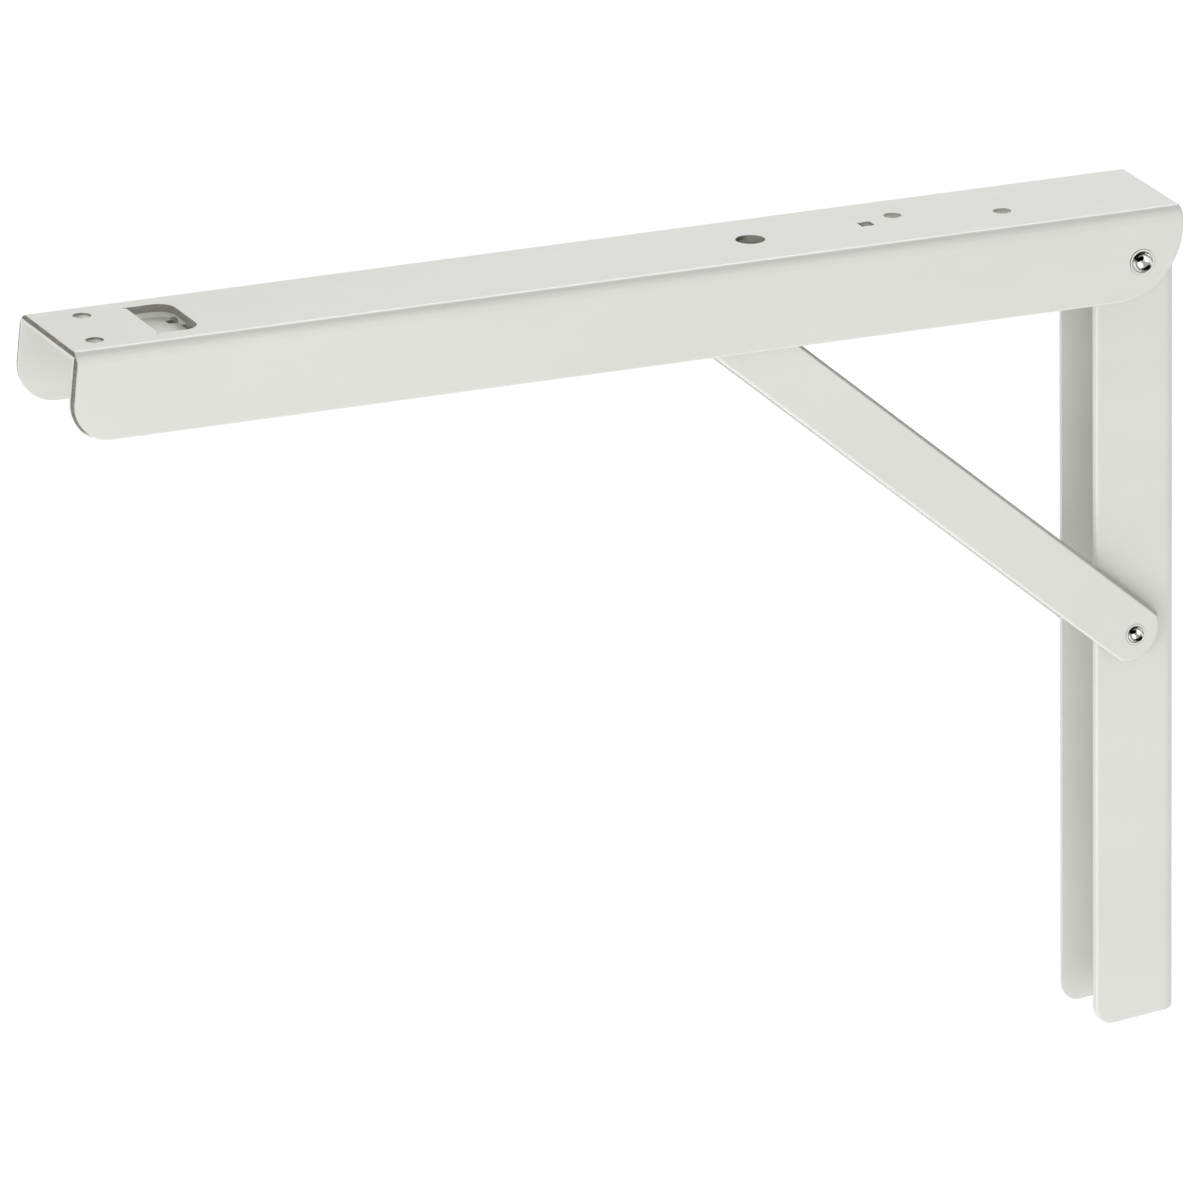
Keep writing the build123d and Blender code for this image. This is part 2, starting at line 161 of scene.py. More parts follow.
class Bench:
    """Workbench for one material: its node tree and the calls that add to it."""

    def __init__(self, name: str) -> None:
        """Makes an empty material.

        Args:
            name: Name of the material.
        """
        self.material = bpy.data.materials.new(name)
        self.material.use_nodes = True
        self._lay(self.material.node_tree)

    @classmethod
    def over(cls, world: bpy.types.World) -> "Bench":
        """Workbench over a world's own nodes."""
        bench = cls.__new__(cls)
        bench._lay(world.node_tree)
        return bench

    def _lay(self, tree: bpy.types.NodeTree) -> None:
        """Clears a node tree and takes it for this workbench."""
        self.tree = tree
        self.tree.nodes.clear()
        self._place: tuple[Value, Value, Value] | None = None
        self._facing: tuple[Value, Value, Value] | None = None

    def node(self, kind: str, settings: dict[str, Any], inputs: dict[Any, Any]) -> bpy.types.Node:
        """Adds a node.

        Args:
            kind: Type name of the node.
            settings: Properties of the node, set before its sockets.
            inputs: Values or links of its sockets, by name or number.

        Returns:
            The node.
        """
        made = self.tree.nodes.new(kind)
        for key, setting in settings.items():
            setattr(made, key, setting)
        for key, given in inputs.items():
            self.feed(made.inputs[key], given)
        return made

    def feed(self, socket: bpy.types.NodeSocket, given: Any) -> None:
        """Gives a socket a link or a plain value.

        Args:
            socket: The input socket.
            given: A Value, an output socket, a number or a tuple.
        """
        if isinstance(given, Value):
            given = given.socket
        if isinstance(given, bpy.types.NodeSocket):
            self.tree.links.new(given, socket)
            return
        if socket.type == "RGBA" and len(given) == 3:
            given = (*given, 1.0)
        socket.default_value = given

    def value(self, made: bpy.types.Node, output: Any = 0) -> Value:
        """A node's output as a value."""
        return Value(self, made.outputs[output])

    def _along_axes(self, output: str) -> list[Value]:
        """The three parts of one output of the piece's own coordinates."""
        coordinates = self.node("ShaderNodeTexCoord", {}, {})
        split = self.node("ShaderNodeSeparateXYZ", {}, {0: coordinates.outputs[output]})
        return [self.value(split, axis) for axis in range(3)]

    def object_place(self) -> tuple[Value, Value, Value]:
        """Place on the piece along X, Y and Z, in millimetres."""
        if self._place is None:
            self._place = tuple(part * TO_MM for part in self._along_axes("Object"))
        return self._place

    def object_facing(self) -> tuple[Value, Value, Value]:
        """Components of the surface's direction on the piece along X, Y and Z."""
        if self._facing is None:
            self._facing = tuple(self._along_axes("Normal"))
        return self._facing

    def noise(self, size_mm: Triple, detail: float = 2.0, rough: float = 0.5, seed: float = 0.0) -> Value:
        """Soft noise between 0 and 1.

        Args:
            size_mm: Length of its features along X, Y and Z, in millimetres.
            detail: Number of finer layers.
            rough: Weight of the finer layers.
            seed: Shift of the pattern, to keep two patterns apart.

        Returns:
            The noise.
        """
        coordinates = self.node("ShaderNodeTexCoord", {}, {})
        scale = tuple(1.0 / (length * MM) for length in size_mm)
        inputs = {"Vector": coordinates.outputs["Object"], "Location": (seed, seed, seed), "Scale": scale}
        mapped = self.node("ShaderNodeMapping", {}, inputs)
        inputs = {"Vector": mapped.outputs[0], "Scale": 1.0, "Detail": detail, "Roughness": rough}
        return self.value(self.node("ShaderNodeTexNoise", {}, inputs))

    def blend(self, share: Value, first: Any, second: Any) -> bpy.types.NodeSocket:
        """Colour between two colours.

        Args:
            share: Share of the second colour.
            first: Colour or link at a share of 0.
            second: Colour or link at a share of 1.

        Returns:
            The socket of the mixed colour.
        """
        settings = {"data_type": "RGBA", "clamp_factor": True}
        return self.node("ShaderNodeMix", settings, {0: share, 6: first, 7: second}).outputs[2]

    def bump(self, height: Value, distance: float) -> bpy.types.NodeSocket:
        """Surface direction over fine relief.

        Args:
            height: The relief, between 0 and 1.
            distance: Height of the relief in metres.

        Returns:
            The socket of the direction.
        """
        inputs = {"Strength": 1.0, "Distance": distance, "Height": height}
        return self.node("ShaderNodeBump", {}, inputs).outputs[0]

    def glow(self, level: float) -> bpy.types.NodeSocket:
        """White light of a brightness."""
        return self.node("ShaderNodeEmission", {}, {"Color": WHITE, "Strength": level}).outputs[0]

    def either(self, share: Any, first: Any, second: Any) -> bpy.types.NodeSocket:
        """One shader at a share of 0 and another at a share of 1.

        Args:
            share: Share of the second shader.
            first: The shader at a share of 0.
            second: The shader at a share of 1.

        Returns:
            The socket of the mixed shader.
        """
        return self.node("ShaderNodeMixShader", {}, {0: share, 1: first, 2: second}).outputs[0]

    def rays(self, kinds: Iterable[str]) -> Value:
        """1 where a ray is of one of the kinds, by the Light Path node's names, and 0 elsewhere."""
        path = self.node("ShaderNodeLightPath", {}, {})
        return reduce(Value.greater, [self.value(path, kind) for kind in kinds])

    def finish(self, sockets: dict[str, Any]) -> bpy.types.Material:
        """Closes the material with the surface shader.

        Args:
            sockets: Values or links of the shader's sockets, by name.

        Returns:
            The finished material.
        """
        return self.close(self.node("ShaderNodeBsdfPrincipled", {}, sockets).outputs[0])

    def close(self, surface: bpy.types.NodeSocket) -> bpy.types.Material:
        """Joins the surface to the output and returns the finished material."""
        self.node("ShaderNodeOutputMaterial", {}, {"Surface": surface})
        return self.material


def linear(red: int, green: int, blue: int) -> Triple:
    """Colour written in screen steps of 0 to 255 as a linear colour."""
    parts = [step / 255 for step in (red, green, blue)]
    return tuple(part / 12.92 if part <= 0.04045 else ((part + 0.055) / 1.055) ** 2.4 for part in parts)


def toned(colour: Triple, share: float) -> Triple:
    """A colour made darker or paler by a share, and no paler than white."""
    return tuple(min(1.0, part * share) for part in colour)


def middle_mm(node: str) -> Vector:
    """Middle of a CAD node's box, in millimetres."""
    low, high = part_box(node)
    return (low + high) / 2 * TO_MM


@dataclass(frozen=True)
class CutPlace:
    """A place of a painted piece where the sheet's sheared face shows.

    Attributes:
        centre: Centre of the place in millimetres, along X, Y and Z.
        reach: Half size of the place in millimetres, along X, Y and Z.
        radius: Radius of a round place about an axis along Z, or 0 for a box.
    """

    centre: Triple
    reach: Triple
    radius: float = 0.0

    def mask(self, bench: Bench) -> Value:
        """1 at this place and 0 elsewhere.

        Args:
            bench: The material's workbench.

        Returns:
            The mask.
        """
        across = [abs(place - middle) for place, middle in zip(bench.object_place(), self.centre)]
        limits = list(zip(across, self.reach))
        if self.radius:
            distance = (across[0] * across[0] + across[1] * across[1]).power(0.5)
            limits = [(distance, self.radius), limits[2]]
        return reduce(mul, [distance.step(limit + FADE_MM, limit) for distance, limit in limits])


@dataclass(frozen=True)
class PowderCoat:
    """Satin powder coat on sheet steel, in a light warm grey.

    Attributes:
        colour: Colour of the coat.
        shade: Darker colour of the coat's fine flecks.
        steel: Colour of sheared steel, also used for painted shade on rims and in holes.
        roughness: Roughness of the coat.
        steel_roughness: Roughness of sheared steel.
        steel_metal: Share of metal in sheared steel, which oil and dust dull.
        peel_mm: Size of the coat's fine waves.
        peel: Height of the coat's fine waves in metres.
    """

    colour: Triple = linear(225, 226, 221)
    shade: Triple = linear(196, 196, 189)
    steel: Triple = linear(126, 121, 108)
    roughness: float = 0.3
    steel_roughness: float = 0.5
    steel_metal: float = 0.35
    peel_mm: float = 1.4
    peel: float = 0.0000035

    def steel_and_shade_colour(self, bench: Bench) -> bpy.types.NodeSocket:
        """Sheared steel, also used as painted shade: fine streaks along the sheet, with paler clouds where
        it broke away.

        Args:
            bench: The material's workbench.

        Returns:
            The socket of the colour.
        """
        streaks = bench.noise((5.0, 5.0, 0.25), detail=3.0, rough=0.6, seed=3.1)
        cloud = bench.noise((2.5, 2.5, 0.6), detail=2.0, seed=8.3)
        streaked = bench.blend(streaks.step(0.35, 0.65), toned(self.steel, 0.55), self.steel)
        return bench.blend(cloud.step(0.45, 0.75) * 0.6, streaked, toned(self.steel, 1.5))

    def material(self, bench: Bench, steel_and_shade: Value | None = None) -> bpy.types.Material:
        """Builds the coat's material.

        Args:
            bench: Workbench of the material, on which its mask was made.
            steel_and_shade: Mask of the sheared faces that show and of painted shade, both in the steel
                colour, or None.

        Returns:
            The material.
        """
        tone = bench.noise((60.0, 25.0, 25.0), detail=2.0, seed=1.7)
        fleck = bench.noise((0.5, 0.5, 0.5), detail=1.0, seed=5.2)
        coat = bench.blend(tone.step(0.25, 0.75), self.colour, toned(self.colour, 0.965))
        coat = bench.blend(fleck.step(0.60, 0.80) * 0.12, coat, self.shade)
        rough = bench.noise((9.0, 9.0, 9.0), detail=3.0, seed=2.4) * 0.08 + (self.roughness - 0.04)
        wave = bench.noise((self.peel_mm,) * 3, detail=2.0, rough=0.45, seed=0.4)
        normal = bench.bump(wave, self.peel)
        sockets = {"Base Color": coat, "Roughness": rough, "Normal": normal, "IOR": 1.5}
        if steel_and_shade is not None:
            # Sheared steel and painted shade share the steel colour.
            sockets["Base Color"] = bench.blend(steel_and_shade, coat, self.steel_and_shade_colour(bench))
            sockets["Roughness"] = rough * (1.0 - steel_and_shade) + steel_and_shade * self.steel_roughness
            sockets["Metallic"] = steel_and_shade * self.steel_metal
        return bench.finish(sockets)


@dataclass(frozen=True)
class Metal:
    """Bare or plated metal.

    Attributes:
        colour: Colour of the metal.
        roughness: Roughness of its face.
        streak_mm: Size of the streaks along X, Y and Z.
        streak: How far the streaks change the roughness.
        dent: Height of the streaks in metres.
        stain: Share of dull cloudy patches.
        patch_roughness: Roughness of a place with a dull finish.
    """

    colour: Triple
    roughness: float
    streak_mm: Triple
    streak: float = 0.15
    dent: float = 0.000002
    stain: float = 0.2
    patch_roughness: float = 0.45

    def material(
        self, bench: Bench, dull_patch_and_shade: Value | None = None, tone: Triple = (0.5, 0.5, 0.5)
    ) -> bpy.types.Material:
        """Builds the metal's material.

        Args:
            bench: Workbench of the material, on which its mask was made.
            dull_patch_and_shade: Mask of a place of another tone with a dull finish, or None; it is real
                coat on a pivot's rim and painted shade on the rail's lug.
            tone: Colour of that place.

        Returns:
            The material.
        """
        streaks = bench.noise(self.streak_mm, detail=3.0, rough=0.6, seed=4.0)
        cloud = bench.noise((4.0, 4.0, 4.0), detail=3.0, seed=6.5)
        colour = bench.blend(cloud.step(0.45, 0.8) * self.stain, self.colour, toned(self.colour, 0.72))
        roughness = streaks * self.streak + (self.roughness - self.streak / 2)
        metal = 1.0
        if dull_patch_and_shade is not None:
            colour = bench.blend(dull_patch_and_shade, colour, tone)
            roughness = roughness * (1.0 - dull_patch_and_shade) + dull_patch_and_shade * self.patch_roughness
            metal = 1.0 - dull_patch_and_shade
        sockets = {"Base Color": colour, "Metallic": metal, "Roughness": roughness}
        sockets["Normal"] = bench.bump(streaks, self.dent)
        return bench.finish(sockets)


@dataclass(frozen=True)
class Nylon:
    """Natural nylon, as moulded.

    Attributes:
        colour: Colour of the nylon.
        roughness: Roughness of its skin.
        grain: Height of its skin's grain in metres.
    """

    colour: Triple = linear(226, 222, 208)
    roughness: float = 0.45
    grain: float = 0.000004

    def material(self, bench: Bench) -> bpy.types.Material:
        """Builds the nylon's material.

        Args:
            bench: Workbench of the material.

        Returns:
            The material.
        """
        cloud = bench.noise((3.0, 3.0, 3.0), detail=2.0, seed=9.1)
        grain = bench.noise((0.3, 0.3, 0.3), detail=1.0, seed=2.2)
        sockets = {
            "Base Color": bench.blend(cloud.step(0.3, 0.7), self.colour, toned(self.colour, 0.9)),
            "Roughness": cloud * 0.1 + (self.roughness - 0.05),
            "Normal": bench.bump(grain, self.grain),
            "Subsurface Weight": 0.1,
            "Subsurface Radius": (0.001, 0.0009, 0.0007),
        }
        return bench.finish(sockets)


def dress(node: str, material: bpy.types.Material) -> None:
    """Gives a CAD node its finished material.

    Args:
        node: Name of the node.
        material: The material for all its slots.
    """
    for slot in frame["nodes"][node].material_slots:
        slot.material = material
    LOG.info("%s: %s", node, material.name)


@dataclass
class Arm:
    """The arm that carries the shelf: a channel open below, with holes and a lanced tongue.

    Attributes:
        coat: Finish of the arm.
        sheet: Thickness of the sheet in millimetres.
        window: Far and near end of the tongue's window, back from the arm's end, and its half width.
        sight: Place along the arm and radius of the sight hole.
        screw_radius: Radius of the shelf screw holes.
        lug: Place along the arm of the rail's lug, and its half side with a margin.
        band: Thickness of the cut ends, from outside, that show bare sheared steel and painted shade.
        corner: Radius of the lower corner at the arm's end.
        slope: Lean of the cut end in degrees, back towards the top.
        shade_lip: Width of the painted shade beside the cut ends.
        window_steel_and_shade: Share of the steel colour on the window's walls, partly bare steel and
            partly painted shade.
        sight_steel_and_shade: Share of the steel colour on the sight hole's wall, partly bare steel and
            partly painted shade, and how much more at its top, as painted shade.
    """

    coat: PowderCoat = field(default_factory=PowderCoat)
    sheet: float = 2.0
    window: tuple[float, float, float] = (37.6, 25.3, 11.8)
    sight: tuple[float, float] = (111.4, 3.75)
    screw_radius: float = 2.3
    lug: tuple[float, float] = (80.0, 2.4)
    band: float = 1.1
    corner: float = 10.0
    slope: float = 6.0
    shade_lip: float = 0.55
    window_steel_and_shade: float = 0.65
    sight_steel_and_shade: tuple[float, float] = (0.35, 0.65)

    def screw_places(self) -> list[Triple]:
        """Places of the shelf screw holes in plan, each with the share of the painted shade on its rim."""
        shifts = {"shelf_screws_end": (-2.2, -10.0, 0.8), "shelf_screws_inner": (13.25, -4.0, 0.3)}
        places = []
        for mount in frame["record"]["mounts"]:
            if mount["name"] in shifts:
                middle = mount["pos_m"][0] * TO_MM
                along, across, share = shifts[mount["name"]]
                places += [(middle + turn * along, turn * across, share) for turn in (1, -1)]
        return places

    def hole_rim_shade(self, bench: Bench, top: float) -> Value:
        """Mask of painted shade on the screw holes' upper rims, where little light reaches.

        Args:
            bench: The material's workbench.
            top: Height of the arm's top in millimetres.

        Returns:
            The mask.
        """
        height = bench.object_place()[2]
        radius = self.screw_radius + 0.15
        reach = (radius, radius, self.sheet)
        # Painted shade: the top of each screw hole's wall is darkened in the steel colour.
        rims = [
            CutPlace((along, across, top - self.sheet / 2), reach, radius).mask(bench) * share
            for along, across, share in self.screw_places()
        ]
        return reduce(add, rims) * height.step(top - 0.9, top - 0.4)

    def end_steel_and_shade(self, bench: Bench, low: Vector, high: Vector) -> Value:
        """Mask of the arm's cut end, bare sheared steel darkened further as painted shade, and of painted
        shade on the rolled edge just beside it.

        The distance from the end is measured round the lower corner: it is the corner's radius less the
        distance from the corner's centre.

        Args:
            bench: The material's workbench.
            low: Lowest corner of the arm in millimetres.
            high: Highest corner of the arm in millimetres.

        Returns:
            The mask.
        """
        x, y, z = bench.object_place()
        facing = bench.object_facing()
        above = (z - (low.z + self.corner)).greater(0.0)
        below = ((low.z + self.corner) - z).greater(0.0)
        lean = above * math.tan(math.radians(self.slope))
        ahead = (x + lean - (high.x - self.corner)).greater(0.0)
        reach = (ahead * ahead + below * below + 0.0001).power(0.5)
        inset = self.corner - reach
        forward = (ahead / reach).step(0.45, 0.8)
        depth = (high.y - abs(y)).lesser(high.z - z)
        face = facing[0].step(0.3, 0.6) * depth.step(self.band + 0.12, self.band - 0.12)
        # Painted shade on the rolled edge beside the cut end.
        beside = abs(facing[1]).step(0.3, 0.6) * depth.step(0.5, 0.3)
        return inset.step(self.shade_lip + 0.2, self.shade_lip - 0.15) * forward * face.greater(beside)

    def steel_and_shade_mask(self, bench: Bench) -> Value:
        """Mask of bare sheared steel and painted shade on the arm: window, holes and cut end.

        Args:
            bench: The material's workbench.

        Returns:
            The mask.
        """
        low, high = (corner * TO_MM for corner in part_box("arm_channel"))
        upright = abs(bench.object_facing()[2]).step(0.75, 0.55)
        middle = high.z - self.sheet / 2
        back, front, width = self.window
        centre = (high.x - (back + front) / 2, 0.0, middle)
        # The window's walls take the steel colour: bare sheared steel and painted shade in the narrow
        # window.
        window = CutPlace(centre, ((back - front) / 2, width, self.sheet * 2.2)).mask(bench)
        radius = self.sight[1] + 0.2
        hole = CutPlace((self.sight[0], 0.0, middle), (radius, radius, self.sheet), radius).mask(bench)
        x, _, z = bench.object_place()
        # Painted shade: the sight hole's wall is darker at its top, on the side towards the arm's end.
        upper_shade = x.step(self.sight[0] - 1.5, self.sight[0] + 1.5) * z.step(high.z - 1.7, high.z - 0.8)
        plain, more = self.sight_steel_and_shade
        # Window and sight hole: bare steel and painted shade; screw hole rims: painted shade only.
        inside = window * self.window_steel_and_shade + hole * (upper_shade * more + plain) + self.hole_rim_shade(bench, high.z)
        return inside * upright + self.end_steel_and_shade(bench, low, high)

    def build(self) -> None:
        """Dresses the arm and the guide rail under it."""
        bench = Bench("arm_powder_coat")
        dress("arm_channel", self.coat.material(bench, self.steel_and_shade_mask(bench)))
        zinc = Metal(linear(186, 184, 176), 0.38, (8.0, 0.5, 0.5), 0.2, 0.000003, 0.5)
        bench = Bench("rail_zinc")
        along, half = self.lug
        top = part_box("arm_channel")[1].z * TO_MM
        # Painted shade: the rail's lug, where it sits in the arm's square hole, is made dark and dull.
        lug = CutPlace((along, 0.0, top - self.sheet / 2), (half, half, self.sheet)).mask(bench)
        dress("guide_rail", zinc.material(bench, lug * 0.9, linear(82, 79, 70)))


@dataclass
class WallChannel:
    """The channel on the wall, with the washers and spacers on its pivots.

    Attributes:
        coat: Finish of the channel.
    """

    coat: PowderCoat = field(default_factory=PowderCoat)

    def build(self) -> None:
        """Dresses the channel and the nylon pieces beside it."""
        dress("wall_channel", self.coat.material(Bench("wall_powder_coat")))
        nylon = Nylon().material(Bench("nylon_spacer"))
        for side in Side:
            dress(f"arm_pivot_spacer_{side.suffix}", nylon)
            dress(f"strut_washer_{side.suffix}", nylon)


@dataclass
class Strut:
    """The strut: two flat painted bars with their studs.

    Attributes:
        coat: Finish of the bars.
        half: Half width of a bar in millimetres.
        rim: Width of the painted shade along the bars' upper rims.
        fade: Half width of that rim's soft edge.
        rim_shade_share: How dark the painted shade on the rims is, in the steel colour.
    """

    coat: PowderCoat = field(default_factory=PowderCoat)
    half: float = 7.65
    rim: float = 0.75
    fade: float = 0.15
    rim_shade_share: float = 0.5

    def upper_rim_shade(self, bench: Bench) -> Value:
        """Mask of painted shade on the bars' upper rims, by the height over the line from pivot to stud.

        Args:
            bench: The material's workbench.

        Returns:
            The mask.
        """
        pivot, stud = middle_mm("strut_pivot_rivet_near"), middle_mm("strut_stud_near")
        lift = math.atan2(stud.z - pivot.z, stud.x - pivot.x)
        x, _, z = bench.object_place()
        height = (z - pivot.z) * math.cos(lift) - (x - pivot.x) * math.sin(lift)
        start = self.half - self.rim
        return height.step(start - self.fade, start + self.fade)

    def build(self) -> None:
        """Dresses the bars and the studs."""
        bench = Bench("strut_powder_coat")
        # The upper rims take the steel colour as painted shade.
        paint = self.coat.material(bench, self.upper_rim_shade(bench) * self.rim_shade_share)
        steel = Metal(linear(196, 196, 194), 0.25, (0.6, 6.0, 0.6)).material(Bench("stud_steel"))
        for side in Side:
            dress(f"strut_bar_{side.suffix}", paint)
            dress(f"strut_stud_{side.suffix}", steel)


@dataclass
class Pivots:
    """The axle and the rivets, dished at their ends, with the tube between the channel's legs.

    Attributes:
        bright: Finish of the pivots.
        coat: Finish that runs over the rims of their flared ends.
        rim: Depth of the coated rims in millimetres.
    """

    bright: Metal = Metal(linear(222, 222, 218), 0.1, (0.5, 4.0, 0.5), 0.08, 0.0000004, 0.15)
    coat: PowderCoat = field(default_factory=PowderCoat)
    rim: float = 0.3

    def build(self) -> None:
        """Dresses the pivots."""
        for node in ("arm_pivot_axle", *(f"strut_pivot_rivet_{side.suffix}" for side in Side)):
            bench = Bench(f"{node}_nickel")
            low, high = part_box(node)
            outer = max(-low.y, high.y) * TO_MM
            across = abs(bench.object_place()[1])
            flat = abs(bench.object_facing()[1]).step(0.8, 0.95)
            rim = across.step(outer - self.rim - FADE_MM, outer - self.rim) * flat
            dress(node, self.bright.material(bench, rim, self.coat.colour))
        tube = Metal(linear(190, 189, 182), 0.35, (0.6, 5.0, 0.6), 0.2)
        dress("arm_pivot_sleeve", tube.material(Bench("sleeve_zinc")))


@dataclass
class Slide:
    """The slide in the guide rail, with its latch."""

    def build(self) -> None:
        """Dresses the slide, the latch and its spring."""
        axle = Metal(linear(205, 204, 200), 0.2, (0.5, 5.0, 0.5), 0.12).material(Bench("axle_steel"))
        plated = Metal(linear(184, 181, 170), 0.36, (5.0, 0.6, 5.0), 0.2, 0.000003, 0.5)
        zinc = plated.material(Bench("latch_zinc"))
        wire = Metal(linear(120, 119, 116), 0.3, (0.4, 0.4, 0.4)).material(Bench("spring_wire"))
        nylon = Nylon().material(Bench("nylon_block"))
        dress("slide_axle", axle)
        dress("slide_spacer", zinc)
        dress("latch_pawl", zinc)
        dress("latch_spring", wire)
        for side in Side:
            dress(f"slide_block_{side.suffix}", nylon)
            dress(f"slide_ring_{side.suffix}", zinc)


def direction(azimuth: float, elevation: float) -> Vector:
    """Unit vector towards a place round the bracket.

    Args:
        azimuth: Turn in degrees, from the arm's reach towards its near side.
        elevation: Height above the horizon in degrees.

    Returns:
        The vector.
    """
    turn, tilt = math.radians(azimuth), math.radians(elevation)
    return Vector((math.cos(turn) * math.cos(tilt), math.sin(turn) * math.cos(tilt), math.sin(tilt)))


@dataclass(frozen=True)
class Card:
    """A round card that bright metal mirrors.

    Attributes:
        name: Name of the card.
        azimuth: Direction round the bracket in degrees.
        elevation: Height above the horizon in degrees.
        distance: From the middle of the bracket in metres.
        radius: Radius in metres.
        level: Brightness, from 0 for black to 1 for white.
    """

    name: str
    azimuth: float
    elevation: float
    distance: float
    radius: float
    level: float


@dataclass(frozen=True)
class Softbox:
    """A soft lamp that faces the bracket.

    Attributes:
        name: Name of the lamp.
        azimuth: Direction round the bracket in degrees, from the arm's reach towards its near side.
        elevation: Height above the horizon in degrees.
        distance: From the middle of the bracket in metres.
        size: Width and height in metres.
        level: Power in watts.
        mirrored: True where bright metal mirrors the lamp.
    """

    name: str
    azimuth: float
    elevation: float
    distance: float
    size: tuple[float, float]
    level: float
    mirrored: bool = True

    def hang(self, centre: Vector) -> None:
        """Hangs the lamp in the studio, out of the camera's sight.

        Args:
            centre: Middle of the bracket, which the lamp faces.
        """
        away = direction(self.azimuth, self.elevation)
        data = bpy.data.lights.new(self.name, "AREA")
        data.shape, data.size, data.size_y, data.energy = "RECTANGLE", *self.size, self.level
        lamp = bpy.data.objects.new(self.name, data)
        lamp.location = centre + away * self.distance
        lamp.rotation_mode = "QUATERNION"
        lamp.rotation_quaternion = (-away).to_track_quat("-Z", "Y")
        lamp.visible_camera = False
        lamp.visible_glossy = self.mirrored
        bpy.context.scene.collection.objects.link(lamp)


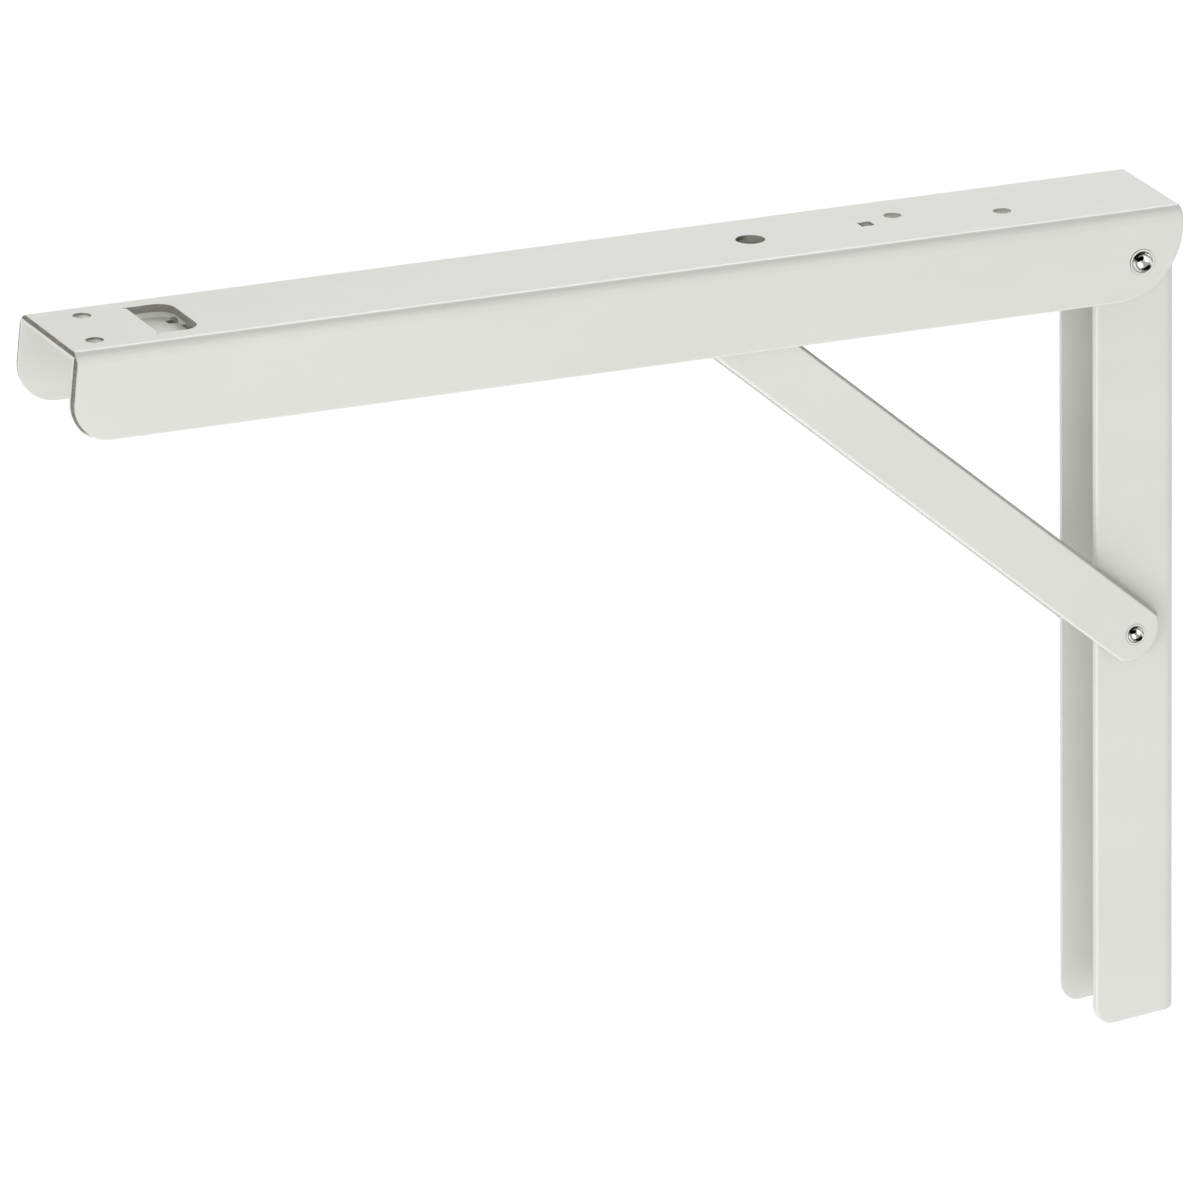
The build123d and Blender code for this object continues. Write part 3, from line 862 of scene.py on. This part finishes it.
@dataclass
class Studio:
    """Plain pale studio: floor, soft lamps and the camera.

    Attributes:
        azimuth: Camera's direction round the bracket, in degrees.
        elevation: Camera's height above the horizon, in degrees.
        roll: Turn of the camera about its view, in degrees.
        lens: Focal length for a sensor 36 mm wide.
        distance: From the camera to the fixed point, in metres.
        aim: Shift of the fixed point to the right and upwards in the view, in metres.
        floor_drop: From the bracket's lowest point to the floor, in metres.
        floor_radius: Radius of the round floor, in metres.
        floor_glow: Light that the floor adds where the camera or a mirror shows it.
        cards: The cards that bright metal mirrors.
        surroundings: Level of the light from all round.
        lamps: The soft lamps.
    """

    azimuth: float = 157.358
    elevation: float = 18.291
    roll: float = 0.599
    lens: float = 501.62
    distance: float = 4.20079
    aim: tuple[float, float] = (0.14006, 0.104262)
    floor_drop: float = 1.1
    floor_radius: float = 9.0
    floor_glow: float = 0.6
    cards: tuple[Card, ...] = (
        Card("card_black", 98.0, -26.0, 1.0, 0.72, 0.0),
        Card("card_white", 112.0, 42.0, 1.0, 0.55, 1.5),
    )
    surroundings: float = 0.5
    lamps: tuple[Softbox, ...] = (
        Softbox("softbox_front_low", 92.0, -17.0, 1.9, (2.4, 0.9), 10.8, False),
        Softbox("softbox_front", 68.0, 12.0, 2.3, (2.0, 1.2), 5.9, False),
        Softbox("softbox_tip", 28.0, -10.0, 1.9, (1.2, 1.2), 13.0),
        Softbox("softbox_back_top", 240.0, 46.0, 2.5, (0.9, 0.9), 15.0),
        Softbox("softbox_back", 270.0, 16.0, 2.4, (3.4, 1.8), 16.5),
    )

    def axes(self) -> Matrix:
        """Rows: the view's right, up and back directions, with the roll."""
        turn, tilt = math.radians(self.azimuth), math.radians(self.elevation)
        right = Vector((math.cos(turn), math.sin(turn), 0.0))
        back = Vector((math.sin(turn) * math.cos(tilt), -math.cos(turn) * math.cos(tilt), math.sin(tilt)))
        up = back.cross(right)
        lean = math.radians(self.roll)
        level = Matrix((right, up, back))
        spin = Matrix(
            (
                (math.cos(lean), -math.sin(lean), 0.0),
                (math.sin(lean), math.cos(lean), 0.0),
                (0.0, 0.0, 1.0),
            )
        )
        return spin @ level

    def camera(self) -> None:
        """Places the camera and makes it the scene's own."""
        rows = self.axes()
        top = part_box("arm_channel")[1].z
        offset = Vector((-self.aim[0], -self.aim[1], self.distance))
        place = rows.transposed() @ offset + Vector((0.0, 0.0, top))
        lens = bpy.data.cameras.new("camera")
        lens.lens, lens.sensor_width = self.lens, 36.0
        lens.clip_start, lens.clip_end = 0.1, 60.0
        camera = bpy.data.objects.new("camera", lens)
        camera.matrix_world = Matrix.Translation(place) @ rows.transposed().to_4x4()
        bpy.context.scene.collection.objects.link(camera)
        bpy.context.scene.camera = camera

    def disc(self, name: str, centre: Vector, away: Vector, radius: float) -> bpy.types.Object:
        """Makes a flat round stage piece: points at equal angles on a circle, joined by one face.

        Args:
            name: Name of the piece.
            centre: Its centre.
            away: Direction that its face looks in.
            radius: Its radius in metres.

        Returns:
            The piece.
        """
        sides = 96
        turn = np.linspace(0.0, 2 * math.pi, sides, endpoint=False)
        flat = np.stack((radius * np.cos(turn), radius * np.sin(turn), np.zeros(sides)))
        spin = np.array(away.to_track_quat("Z", "Y").to_matrix())
        mesh = bpy.data.meshes.new(name)
        mesh.from_pydata((spin @ flat).T + np.array(centre), [], [tuple(range(sides))])
        piece = bpy.data.objects.new(name, mesh)
        bpy.context.scene.collection.objects.link(piece)
        piece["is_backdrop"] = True
        return piece

    def floor(self) -> None:
        """Lays a round pale floor, open to a camera below it."""
        low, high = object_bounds()
        centre = Vector((*((low + high) / 2).xy, low.z - self.floor_drop))
        floor = self.disc("floor", centre, Vector((0.0, 0.0, 1.0)), self.floor_radius)
        bench = Bench("floor_paper")
        seen = bench.rays(("Is Camera Ray", "Is Transmission Ray", "Is Glossy Ray"))
        paper = bench.node("ShaderNodeBsdfDiffuse", {}, {"Color": (0.9, 0.9, 0.9)}).outputs[0]
        lit = bench.node("ShaderNodeAddShader", {}, {0: paper, 1: bench.glow(self.floor_glow)}).outputs[0]
        back = bench.node("ShaderNodeNewGeometry", {}, {}).outputs["Backfacing"]
        clear = bench.node("ShaderNodeBsdfTransparent", {}, {}).outputs[0]
        surface = bench.either(back, bench.either(seen, paper, lit), clear)
        floor.data.materials.append(bench.close(surface))

    def card(self, plan: Card) -> None:
        """Hangs a round card that only mirrors show.

        Args:
            plan: Where the card hangs, its size and its level.
        """
        away = direction(plan.azimuth, plan.elevation)
        low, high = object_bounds()
        card = self.disc(plan.name, (low + high) / 2 + away * plan.distance, -away, plan.radius)
        card.visible_camera = card.visible_diffuse = card.visible_shadow = False
        bench = Bench(plan.name)
        card.data.materials.append(bench.close(bench.glow(plan.level)))

    def light(self) -> None:
        """Sets the pale surroundings and the soft lamps."""
        world = bpy.data.worlds.new("studio")
        world.use_nodes = True
        bpy.context.scene.world = world
        bench = Bench.over(world)
        seen = bench.rays(("Is Camera Ray", "Is Transmission Ray"))
        tint = {"Color": (1.0, 0.995, 0.985), "Strength": self.surroundings}
        plain = bench.node("ShaderNodeBackground", {}, tint).outputs[0]
        white = bench.node("ShaderNodeBackground", {}, {"Color": WHITE, "Strength": 1.0}).outputs[0]
        bench.node("ShaderNodeOutputWorld", {}, {"Surface": bench.either(seen, plain, white)})
        low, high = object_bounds()
        for lamp in self.lamps:
            lamp.hang((low + high) / 2)

    def build(self) -> None:
        """Sets up the whole studio."""
        self.floor()
        for plan in self.cards:
            self.card(plan)
        self.light()
        self.camera()
        bpy.context.scene.view_settings.view_transform = "Standard"


def main() -> None:
    """Dresses the bracket part by part, then sets up the studio."""
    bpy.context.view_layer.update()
    for assembly in (Arm(), WallChannel(), Strut(), Pivots(), Slide()):
        assembly.build()
        LOG.info("%s finished", type(assembly).__name__)
    Studio().build()


if __name__ == "__main__":
    logging.basicConfig(level=logging.INFO)
    main()
